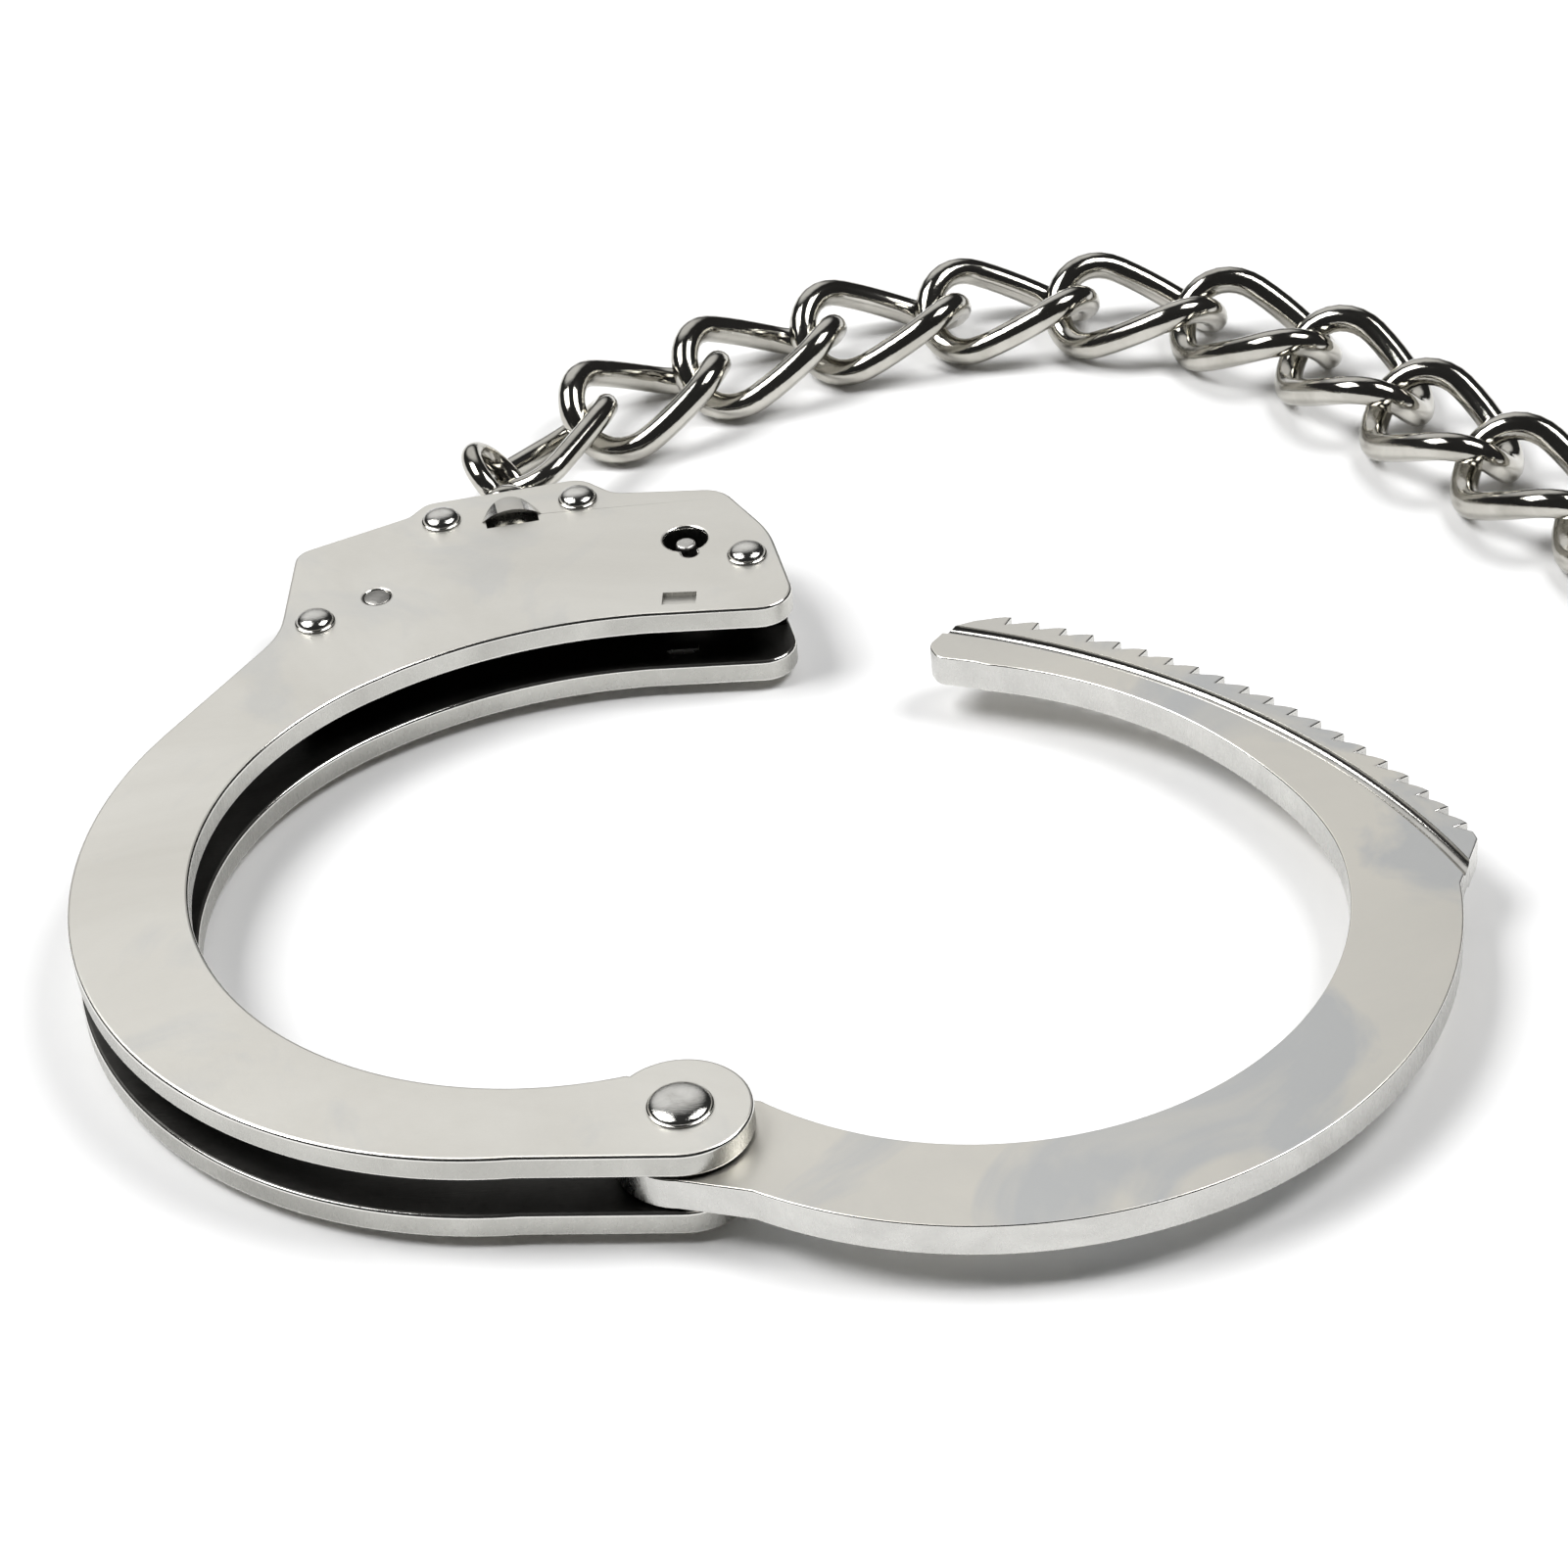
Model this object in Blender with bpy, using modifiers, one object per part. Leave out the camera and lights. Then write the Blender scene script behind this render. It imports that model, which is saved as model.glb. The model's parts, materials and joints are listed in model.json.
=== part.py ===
"""Handcuffs: two swing-through cuffs on a long chain of twisted links.

Helpers take millimetres and degrees; the scene is in metres, +Z up. Each cuff is drawn in its own
frame: the bow's hinge on Z at the origin, the lock body towards +Y, rivet domes down to Z = 0.
"""

import math

import bmesh
import bpy
from mathutils import Matrix, Vector

MM = 0.001

# Driving dimensions, millimetres. TOOTH_RADIUS sets the whole cuff: the bow's tooth tips about the hinge.
TOOTH_RADIUS = 80.0
TOOTH_COUNT = 20
TOOTH_PITCH = 2.107  # degrees
FIRST_TOOTH = 63.8  # degrees, the tip nearest the bow's nose with the cuff open
TOOTH_DEPTH = 1.3
PLATE = 2.5  # cheek plate thickness
GAP = 4.0  # between the two cheek plates
DOME = 1.1  # height of a rivet's dome
HINGE_DOME = 0.9
BOW = 3.3  # thickness of the bow
SEAT = 0.1  # air under a rivet head, so that meshes don't share a face
SWEPT = TOOTH_RADIUS + 0.5  # everything in the gap stays outside this circle about the hinge

Z_LOWER = DOME
Z_GAP = Z_LOWER + PLATE
Z_UPPER = Z_GAP + GAP
Z_TOP = Z_UPPER + PLATE
Z_MID = Z_GAP + GAP / 2

# Places in the cuff's frame
HINGE_EYE = 6.3
INNER_ARC = ((-10.3, 38.1), 33.8)
OUTER_ARC = ((-13.0, 37.6), 42.2)
BODY_RIVETS = {"side": (-33.7, 78.1), "back": (-21.2, 94.5), "shoulder": (-7.1, 96.2), "nose": (9.8, 83.0)}
PAWL_PIN = (-27.6, 81.7)
KEYHOLE = (3.7, 87.0)
KEYHOLE_RADIUS = 2.2
SWIVEL_SEAT = (-14.15, 95.35)
SWIVEL_AXIS = Vector((-0.12, 0.993, 0)).normalized()

# Clearances and radii
RIVET_SHANK = 1.3
RIVET_HEAD = 2.0
HINGE_SHANK = 2.0
HINGE_HEAD = 2.9
PIN_RADIUS = 1.3
POST_RADIUS = 1.05
HOLE_CLEARANCE = 0.15
GROOVE = (75.65, 77.2, 0.65)  # the bow's guide grooves: inner and outer radius about the hinge, depth
TAB_CORNER = (0.9, 75.5)  # the pressed tab that runs in the groove: its near left corner, its size and turn
TAB_SIZE = (3.4, 2.1)
TAB_TURN = -5.5
LOUVRE_SIZE = (3.1, 1.05)  # the plate's raised lip over the swivel's head: half its width, its height
LOUVRE_RUN = (-1.6, 2.6)  # along the swivel's axis
LOUVRE_MOUTH = (-2.8, -1.1)
SWIVEL_HEAD = 3.0

# Chain: every link lies on the heading of its own stretch
LINK_PITCH = 14.4
LINK_PLAY = 0.3
LINK_WIDTH = 14.5
LINK_WIRE = 3.0
LINK_TWIST = 90.0
CHAIN_Z = 4.2
EYE_CENTRE = 12.6  # along the swivel's axis from its seat
EYE_INNER = 3.2
EYE_PLAY = 0.4
EYE_RADIAL = 2.1
EYE_AXIAL = 2.3
EYE_ROLL = 52.0  # how far the eye is turned about the swivel's axis
EYE_CONTACT = 50.0  # where the oval link bears on the eye, from the swivel's axis
OVAL_WIDTH = 12.0
OVAL_WIRE = 2.6
OVAL_TILT = -32.0
OVAL_TWIST = 28.0
HEADINGS = (53, 30, 23, 10, -3, -19, -40, -60, -60, -56, -52, -48, -44, -40, -36, -32, -28, -24)

NICKEL = (0.70, 0.69, 0.65)


def polar(radius, angle, centre=(0, 0)):
    return (
        centre[0] + radius * math.cos(math.radians(angle)),
        centre[1] + radius * math.sin(math.radians(angle)),
    )


def arc(centre, radius, start, end, steps):
    return [polar(radius, start + (end - start) * k / steps, centre) for k in range(steps + 1)]


def circle(centre, radius, sides=14):
    return arc(centre, radius, 0, 360 - 360 / sides, sides - 1)


def rounded(corners, steps=4):
    """Points of an open or closed run of corners (x, y, fillet radius); a radius of 0 keeps the corner."""
    points = []
    for k, (x, y, radius) in enumerate(corners):
        if radius == 0:
            points.append((x, y))
            continue
        corner = Vector((x, y))
        before = (Vector(corners[k - 1][:2]) - corner).normalized()
        after = (Vector(corners[(k + 1) % len(corners)][:2]) - corner).normalized()
        half = before.angle(after) / 2
        reach = radius / math.tan(half)
        middle = corner + (before + after).normalized() * (radius / math.sin(half))
        first = corner + before * reach - middle
        last = corner + after * reach - middle
        turn = last.angle_signed(first)
        for step in range(steps + 1):
            points.append(tuple(middle + Matrix.Rotation(turn * step / steps, 2) @ first))
    return points


def blended(first, second):
    """Points that leave along one run of points and arrive along another of the same length."""
    points = []
    for k, (start, end) in enumerate(zip(first, second)):
        share = k / (len(first) - 1)
        points.append(tuple(Vector(start).lerp(Vector(end), share * share * (3 - 2 * share))))
    return points


def material(name, colour, roughness):
    made = bpy.data.materials.new(name)
    made.use_nodes = True
    shader = made.node_tree.nodes["Principled BSDF"]
    shader.inputs["Base Color"].default_value = (*colour, 1)
    shader.inputs["Metallic"].default_value = 1.0
    shader.inputs["Roughness"].default_value = roughness
    return made


def evaluated_mesh(helper):
    """The helper object's evaluated mesh, closed and facing out; the helper is removed."""
    bpy.context.scene.collection.objects.link(helper)
    graph = bpy.context.evaluated_depsgraph_get()
    mesh = bpy.data.meshes.new_from_object(helper.evaluated_get(graph))
    bpy.data.objects.remove(helper)
    shape = bmesh.new()
    shape.from_mesh(mesh)
    bmesh.ops.remove_doubles(shape, verts=shape.verts, dist=1e-6)
    bmesh.ops.recalc_face_normals(shape, faces=shape.faces)
    shape.to_mesh(mesh)
    shape.free()
    return mesh


def extruded(outlines, low, high):
    """A mesh between two heights; an outline inside another is a hole."""
    curve = bpy.data.curves.new("outline", "CURVE")
    curve.dimensions = "2D"
    curve.fill_mode = "BOTH"
    curve.extrude = (high - low) / 2 * MM
    for outline in outlines:
        spline = curve.splines.new("POLY")
        spline.points.add(len(outline) - 1)
        spline.use_cyclic_u = True
        for point, (x, y) in zip(spline.points, outline):
            point.co = (x * MM, y * MM, 0, 1)
    mesh = evaluated_mesh(bpy.data.objects.new("outline", curve))
    mesh.transform(Matrix.Translation((0, 0, (low + high) / 2 * MM)))
    return mesh


def tube(points, wire, resolution=1):
    """A closed loop of round wire through the points."""
    curve = bpy.data.curves.new("wire", "CURVE")
    curve.dimensions = "3D"
    curve.bevel_depth = wire / 2 * MM
    curve.bevel_resolution = resolution
    spline = curve.splines.new("POLY")
    spline.points.add(len(points) - 1)
    spline.use_cyclic_u = True
    for point, place in zip(spline.points, points):
        point.co = (*(Vector(place) * MM), 1)
    return evaluated_mesh(bpy.data.objects.new("wire", curve))


def turned(profile, steps=12):
    """A profile of (radius, height), from the top down, turned about Z."""
    mesh = bpy.data.meshes.new("profile")
    edges = [(k, k + 1) for k in range(len(profile) - 1)]
    mesh.from_pydata([(radius * MM, 0, height * MM) for radius, height in profile], edges, [])
    helper = bpy.data.objects.new("profile", mesh)
    screw = helper.modifiers.new("turn", "SCREW")
    screw.steps = screw.render_steps = steps
    screw.use_merge_vertices = True
    screw.merge_threshold = 1e-5
    return evaluated_mesh(helper)


def moved(mesh, spot):
    mesh.transform(Matrix.Translation(Vector((*spot, 0)) * MM))
    return mesh


def combined(mesh, other, operation):
    """One mesh cut by or joined to another."""
    cutter = bpy.data.objects.new("cutter", other)
    cutter.hide_render = True
    cutter.display_type = "WIRE"
    CUTTERS.objects.link(cutter)
    helper = bpy.data.objects.new("helper", mesh)
    boolean = helper.modifiers.new(operation.lower(), "BOOLEAN")
    boolean.operation = operation
    boolean.solver = "EXACT"
    boolean.object = cutter
    result = evaluated_mesh(helper)
    bpy.data.objects.remove(cutter)
    return result


def dome(radius, base, height, steps=3):
    """Profile points of a spherical cap, from its apex to its rim; a negative height points down."""
    return [
        (radius * math.sin(math.pi / 2 * k / steps), base + height * math.cos(math.pi / 2 * k / steps))
        for k in range(steps + 1)
    ]


# --- cuff pieces, each a mesh in the cuff's frame -------------------------------------------------


def cheek_outline():
    hinge_end = arc((0, 0), HINGE_EYE, -96, 132, 16)
    inner = arc(*INNER_ARC, -80, -238, 34)
    throat = arc((-3.0, 27.1), 47.0, 119, 90, 6)
    body = rounded([
        (-1.0, 74.1, 0), (14.6, 73.0, 3.4), (12.3, 87.2, 14), (7.8, 95.7, 3.5), (-3.4, 96.9, 3),
        (-6.6, 100.2, 3), (-22.9, 98.1, 2.5), (-24.6, 95.9, 2), (-36.1, 91.0, 2.4), (-37.3, 76.6, 10),
        (*polar(OUTER_ARC[1], 146, OUTER_ARC[0]), 0),
    ])
    outer = arc(*OUTER_ARC, 149, 268, 30)
    return hinge_end + inner + throat + body + outer


def keyhole_outline():
    """A round hole with a notch for the key's bit, pointing at the wrist."""
    slot_half, slot_end = 0.75, 3.4
    side = math.degrees(math.asin(slot_half / KEYHOLE_RADIUS))
    round_part = arc(KEYHOLE, KEYHOLE_RADIUS, -82 + side, 278 - side, 16)
    tip = arc(polar(slot_end - slot_half, -82, KEYHOLE), slot_half, -172, 8, 4)
    return round_part + tip


def cap_outline(half_width, height, below):
    """A circular segment of that width and height standing on Y = 0, carried down to -below."""
    radius = (half_width**2 + height**2) / (2 * height)
    rim = math.degrees(math.asin((radius - height) / radius))
    top = arc((0, height - radius), radius, rim, 180 - rim, 8)
    return top + [(-half_width, -below), (half_width, -below)]


def on_swivel(outline, run, slope=0):
    """The outline swept along the swivel's axis on the upper plate, sinking at that slope."""
    swept = extruded([outline], *run)
    sink = Matrix.Identity(4)
    sink[1][2] = -slope
    sink[1][3] = (Z_TOP - Z_MID + slope * run[0]) * MM
    swept.transform(swivel_frame() @ sink)
    return swept


def louvre_mouth():
    wall, through = 0.4, 1.7
    half_width, height = LOUVRE_SIZE
    return on_swivel(cap_outline(half_width - wall, height - wall, through), LOUVRE_MOUTH)


def louvre_lip():
    """The plate's lip over the swivel's head: it rises from the back edge and opens at the mouth."""
    half_width, height = LOUVRE_SIZE
    into_plate = 0.6
    slope = height / (LOUVRE_RUN[1] - LOUVRE_RUN[0])
    lip = on_swivel(cap_outline(half_width, height, into_plate), LOUVRE_RUN, slope)
    return combined(lip, louvre_mouth(), "DIFFERENCE")


def tab_frame(z):
    spot = Matrix.Translation(Vector((*TAB_CORNER, z)) * MM)
    return spot @ Matrix.Rotation(math.radians(TAB_TURN), 4, "Z")


def tab_recess():
    """The outside of the pressed tab, deeper at its far edge."""
    width, length = TAB_SIZE
    shallow, depth, over = 0.3, 0.25, 1.0
    block = extruded([[(0, 0), (width, 0), (width, length), (0, length)]], -shallow, over)
    sink = Matrix.Identity(4)
    sink[2][1] = -depth / length
    block.transform(tab_frame(Z_TOP) @ sink)
    return block


def tab_tongue():
    """The inside of the pressed tab, which stands into the gap and runs in the bow's groove."""
    depth, into_plate = 0.6, 0.4
    inner, outer = GROOVE[0] + 0.3, GROOVE[1] - 0.3
    centre_angle, half_angle = 88.1, 1.2
    face = arc((0, 0), outer, centre_angle - half_angle, centre_angle + half_angle, 3)
    back = arc((0, 0), inner, centre_angle + half_angle, centre_angle - half_angle, 3)
    return extruded([face + back], Z_UPPER - depth, Z_UPPER + into_plate)


def cheek_plate(upper):
    """Both plates are drawn as the upper one; the lower is its mirror image with a hole for the post."""
    outlines = [cheek_outline(), circle((0, 0), HINGE_SHANK + HOLE_CLEARANCE, 20)]
    outlines += [circle(place, RIVET_SHANK + HOLE_CLEARANCE) for place in BODY_RIVETS.values()]
    outlines.append(circle(PAWL_PIN, PIN_RADIUS + HOLE_CLEARANCE))
    outlines.append(keyhole_outline() if upper else circle(KEYHOLE, POST_RADIUS + HOLE_CLEARANCE))
    mesh = extruded(outlines, Z_UPPER, Z_TOP)
    for cutter in (louvre_mouth(), swivel_pocket(), tab_recess()):
        mesh = combined(mesh, cutter, "DIFFERENCE")
    for addition in (tab_tongue(), louvre_lip()):
        mesh = combined(mesh, addition, "UNION")
    if not upper:
        mesh.transform(Matrix.Translation((0, 0, 2 * Z_MID * MM)) @ Matrix.Diagonal((1, 1, -1, 1)))
        mesh.flip_normals()
    return mesh


def swivel_frame():
    """The swivel's own frame: its stem along Z, its seat between the two back rivets."""
    along = SWIVEL_AXIS
    across = Vector((0, 0, 1)).cross(along)
    place = Vector((*SWIVEL_SEAT, Z_MID)) * MM
    return Matrix.Translation(place) @ Matrix((across, Vector((0, 0, 1)), along)).transposed().to_4x4()


def swivel_pocket():
    """The round pocket that the swivel's head turns in."""
    radius = SWIVEL_HEAD + 0.4
    pocket = turned([(0, -0.9), (radius, -0.9), (radius, -4.5), (0, -4.5)], 16)
    pocket.transform(swivel_frame())
    return pocket


def at_swivel(across, along):
    place = Vector(SWIVEL_SEAT) + across * Vector((SWIVEL_AXIS.y, -SWIVEL_AXIS.x))
    return tuple(place + along * SWIVEL_AXIS.xy)


def swept_edge(start_x, end_x, steps=4):
    """Points on the swept circle between two values of X."""
    xs = [start_x + (end_x - start_x) * k / steps for k in range(steps + 1)]
    return [(x, math.sqrt(SWEPT**2 - x**2)) for x in xs]


def lock_frame():
    slot_mouth = (*at_swivel(2.1, 2.9), 0)
    back = rounded([
        (13.3, 80.0, 0), (11.5, 87.0, 10), (7.2, 95.1, 3), (-3.4, 96.3, 3), (-6.5, 99.0, 2), slot_mouth,
    ])
    wide = SWIVEL_HEAD + 0.6
    socket = [
        at_swivel(2.1, -0.9), at_swivel(wide, -0.9), at_swivel(wide, -4.3),
        at_swivel(-wide, -4.3), at_swivel(-wide, -0.9), at_swivel(-2.1, -0.9), at_swivel(-2.1, 2.9),
    ]
    side = [(-22.4, 97.2), (-24.2, 95.2), (-35.3, 90.3), (-36.7, 77.0)]
    cavity = [(-31.2, 85.6), (-24.5, 88.9), (-0.6, 88.9), (0.6, 90.6), (6.2, 90.6), (7.6, 88.9)]
    outline = back + socket + side + swept_edge(-36.4, -31.2, 2) + cavity + swept_edge(7.6, 13.2, 2)
    holes = [circle(place, RIVET_SHANK + HOLE_CLEARANCE) for place in BODY_RIVETS.values()]
    return extruded([outline, *holes], Z_GAP + SEAT, Z_UPPER - SEAT)


def rivet(shank, head, height, steps):
    top = dome(head, Z_TOP + SEAT, height)
    bottom = dome(head, Z_LOWER - SEAT, -height)
    return turned([*top, (shank, Z_TOP + SEAT), (shank, Z_LOWER - SEAT), *reversed(bottom)], steps)


def bow_outline():
    """The single strand: hinge eye, outer edge, heel, ratchet teeth, nose and inner edge."""
    outer_centre, outer_radius = (29.0, 26.6), 42.1
    near_centre, near_radius = (28.6, 27.3), 32.6
    far_centre, far_radius = (18.0, 23.5), 43.0
    eye = arc((0, 0), HINGE_EYE - 0.1, 36, 262, 14)
    outer = arc(outer_centre, outer_radius, -124, -4, 26)
    heel = [(73.3, 28.9), (73.7, 29.8), (73.5, 30.9)]
    teeth = []
    for k in range(TOOTH_COUNT - 1, -1, -1):
        tip = FIRST_TOOTH - k * TOOTH_PITCH
        root = TOOTH_RADIUS - TOOTH_DEPTH
        teeth += [polar(root, tip + 0.1), polar(TOOTH_RADIUS, tip), polar(TOOTH_RADIUS - 0.45, tip + 1.0)]
    nose = rounded([
        (31.6, 71.8, 0), (29.0, 71.1, 1.6), (26.7, 68.3, 1.6), (27.4, 66.1, 1.5), (30.9, 64.8, 0),
    ], 3)
    far = arc(far_centre, far_radius, 71, 43, 7)
    turn = blended(arc(far_centre, far_radius, 39, 0, 8), arc(near_centre, near_radius, 39, 0, 8))
    near = arc(near_centre, near_radius, -5, -132, 24)
    return eye + outer + heel + teeth + nose + far + turn + near


def bow_groove(low, high):
    """The guide groove below the teeth, cut into one face and open at both ends."""
    inner, outer, _ = GROOVE
    start, end = 14, 70
    ring = arc((0, 0), outer, start, end, 20) + arc((0, 0), inner, end, start, 20)
    return extruded([ring], low, high)


def bow():
    low, high = Z_MID - BOW / 2, Z_MID + BOW / 2
    depth, over = GROOVE[2], 1.0
    mesh = extruded([bow_outline(), circle((0, 0), HINGE_SHANK + HOLE_CLEARANCE, 20)], low, high)
    mesh = combined(mesh, bow_groove(high - depth, high + over), "DIFFERENCE")
    return combined(mesh, bow_groove(low - over, low + depth), "DIFFERENCE")


def pawl():
    """The catch: an eye on its pin, a curved arm with ratchet teeth, and a notch for the lock bar."""
    top, root, tip_radius = 84.8, 81.5, SWEPT + 0.1
    pin_angle = math.degrees(math.atan2(PAWL_PIN[1], PAWL_PIN[0]))
    eye = arc(PAWL_PIN, 2.9, pin_angle - 60, pin_angle + 175, 12)
    lower = arc((0, 0), root, pin_angle - 1.5, 99.5, 5)
    teeth = []
    for k in range(4):
        tip = 98.6 - k * TOOTH_PITCH
        teeth += [polar(tip_radius, tip), polar(root, tip - 0.5)]
    end = [polar(root + 0.2, 89.2), (1.6, 82.6), (1.6, 84.2), (1.0, top), (-1.7, top)]
    notch = [(-1.7, 83.0), (-5.6, 82.8), (-5.6, 84.4)]
    upper = arc((0, 0), top - 0.2, 94.4, pin_angle - 3.0, 6)
    outline = eye + lower + teeth + end + notch + upper
    return extruded([outline, circle(PAWL_PIN, PIN_RADIUS + HOLE_CLEARANCE)], Z_GAP + 0.3, Z_UPPER - 0.3)


def strip(path, thickness):
    """An outline of even thickness along a path."""
    left, right = [], []
    for k, point in enumerate(path):
        ahead = Vector(path[min(k + 1, len(path) - 1)])
        behind = Vector(path[max(k - 1, 0)])
        along = (ahead - behind).normalized()
        side = Vector((-along.y, along.x)) * thickness / 2
        left.append(tuple(Vector(point) + side))
        right.append(tuple(Vector(point) - side))
    return left + right[::-1]


def pawl_spring():
    """A hairpin leaf between the pawl's arm and the frame's ceiling."""
    lower = arc((0, 0), 85.1, 100.6, 104.4, 3)
    bend = arc((-21.2, 84.3), 1.75, 255, 105, 5)
    return extruded([strip(lower + bend + [(-16.6, 87.4)], 0.5)], Z_MID - 1.3, Z_MID + 1.3)


def lock_bar():
    """The double-lock bar with the lug that drops behind the pawl's end."""
    outline = [(-14.5, 87.0), (-4.9, 87.0), (-4.9, 85.3), (-2.5, 85.3), (-2.5, 88.5), (-14.5, 88.5)]
    return extruded([outline], Z_MID - 1.4, Z_MID + 1.4)


def key_post():
    """The post that a key's barrel fits over, with a flange between the plates."""
    tip, flange = 1.9, 0.8
    profile = [
        (0, Z_TOP - 0.5), (POST_RADIUS - 0.2, Z_TOP - 0.5), (POST_RADIUS, Z_TOP - 0.8),
        (POST_RADIUS, Z_GAP + SEAT + flange), (tip, Z_GAP + SEAT + flange), (tip, Z_GAP + SEAT),
        (POST_RADIUS, Z_GAP + SEAT), (POST_RADIUS, Z_LOWER + SEAT), (0, Z_LOWER + SEAT),
    ]
    return moved(turned(profile, 12), KEYHOLE)


def pawl_pin():
    profile = [(0, Z_TOP), (PIN_RADIUS, Z_TOP), (PIN_RADIUS, Z_LOWER), (0, Z_LOWER)]
    return moved(turned(profile, 14), PAWL_PIN)


def swivel():
    """Head, stem, collar and bell turned about the stem, joined to a flattened eye."""
    profile = [
        (0, 9.0), (1.5, 8.9), (2.6, 8.0), (3.2, 6.6), (2.9, 5.9), (3.4, 5.5), (3.6, 4.8), (3.2, 4.1),
        (1.7, 4.1), (1.7, -1.5), (SWIVEL_HEAD - 0.3, -1.5), (SWIVEL_HEAD, -2.2),
        (SWIVEL_HEAD - 0.3, -3.9), (0, -3.9),
    ]
    stem = turned(profile, 16)
    ring = tube([(*polar(EYE_INNER + EYE_RADIAL / 2, 18 * k), 0) for k in range(20)], EYE_RADIAL)
    ring.transform(Matrix.Diagonal((1, 1, EYE_AXIAL / EYE_RADIAL, 1)))
    ring.transform(Matrix.Rotation(math.radians(90), 4, "X"))
    ring.transform(Matrix.Translation((0, 0, EYE_CENTRE * MM)))
    joined = combined(stem, ring, "UNION")
    joined.transform(Matrix.Rotation(math.radians(EYE_ROLL), 4, "Z"))
    joined.transform(swivel_frame())
    return joined


# --- chain ----------------------------------------------------------------------------------------


def link(width, wire, twist, tilt=0.0):
    """A wire loop along X, its first joint at 0 and its next at the pitch, twisted end to end."""
    length = LINK_PITCH + LINK_PLAY
    half_length = (length + wire) / 2
    half_width = (width - wire) / 2
    straight = half_length - half_width
    ends = [(1, range(-90, 91, 30)), (-1, range(90, 271, 30))]
    points = []
    for side, angles in ends:
        for angle in angles:
            along = side * straight + half_width * math.cos(math.radians(angle))
            across = half_width * math.sin(math.radians(angle))
            turn = math.radians(tilt - twist / 2 * along / half_length)
            points.append((along + LINK_PITCH / 2, across * math.cos(turn), across * math.sin(turn)))
    return tube(points, wire)


# --- assembly -------------------------------------------------------------------------------------


def place(name, mesh, finish, matrix, pivot=None, parent=None):
    """An object at its pivot, given in the mesh's own frame; matrix takes that frame to the world."""
    pivot = Vector(pivot or (0, 0, 0)) * MM
    local = mesh.copy()
    local.name = name
    local.transform(Matrix.Translation(-pivot))
    local.materials.clear()
    local.materials.append(finish)
    local.shade_smooth()
    local.set_sharp_from_angle(angle=math.radians(35))
    made = bpy.data.objects.new(name, local)
    PARTS.objects.link(made)
    world = matrix @ Matrix.Translation(pivot)
    made.matrix_world = world
    if parent:
        made.parent = parent
        made.matrix_parent_inverse = parent.matrix_world.inverted()
    return made


def empty(name, matrix, parent=None):
    made = bpy.data.objects.new(name, None)
    PARTS.objects.link(made)
    made.matrix_world = matrix
    made.parent = parent
    return made


def build_cuff(side, matrix, meshes, root):
    """The pieces of one cuff; moving pieces have their origins on their joint axes."""
    eye = (*(Vector(SWIVEL_SEAT) + EYE_CENTRE * SWIVEL_AXIS.xy), Z_MID)
    pieces = [
        ("upper_cheek_plate", "upper_cheek_plate", PLATE_NICKEL, None),
        ("lower_cheek_plate", "lower_cheek_plate", PLATE_NICKEL, None),
        ("lock_frame", "lock_frame", DARK_STEEL, None),
        ("bow", "bow", BOW_NICKEL, (0, 0, Z_MID)),
        ("hinge_rivet", "hinge_rivet", RIVET_NICKEL, None),
        ("pawl", "pawl", DARK_STEEL, (*PAWL_PIN, Z_MID)),
        ("pawl_spring", "pawl_spring", SPRING_STEEL, None),
        ("pawl_pivot_pin", "pawl_pivot_pin", PIN_STEEL, None),
        ("double_lock_bar", "double_lock_bar", DARK_STEEL, (-8.0, 87.0, Z_MID)),
        ("key_post", "key_post", PIN_STEEL, None),
        ("swivel", "swivel", CHAIN_NICKEL, eye),
    ]
    for name, mesh, finish, pivot in pieces:
        place(f"{side}_{name}", meshes[mesh], finish, matrix, pivot, root)
    for where, spot in BODY_RIVETS.items():
        shifted = matrix @ Matrix.Translation(Vector((*spot, 0)) * MM)
        place(f"{side}_{where}_rivet", meshes["body_rivet"], RIVET_NICKEL, shifted, None, root)


def eye_contact():
    """Where the oval link bears on the inside of the swivel's eye, in the cuff's frame."""
    roll, turn = math.radians(EYE_ROLL), math.radians(EYE_CONTACT)
    across = Vector((SWIVEL_AXIS.y, -SWIVEL_AXIS.x, 0)) * math.cos(roll) - Vector((0, 0, math.sin(roll)))
    reach = EYE_INNER - EYE_PLAY
    spot = SWIVEL_AXIS * (EYE_CENTRE + reach * math.cos(turn)) + across * reach * math.sin(turn)
    return Vector((*SWIVEL_SEAT, Z_MID)) + spot


def oval_link_frame():
    """The oval link's frame and the far end of it, in the cuff's frame: it climbs to the chain's height."""
    start = eye_contact()
    pitch = math.asin((CHAIN_Z - start.z) / LINK_PITCH)
    turn = Matrix.Rotation(math.radians(HEADINGS[0]), 4, "Z") @ Matrix.Rotation(-pitch, 4, "Y")
    end = start + turn @ Vector((LINK_PITCH, 0, 0))
    return Matrix.Translation(start * MM) @ turn, end


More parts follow.
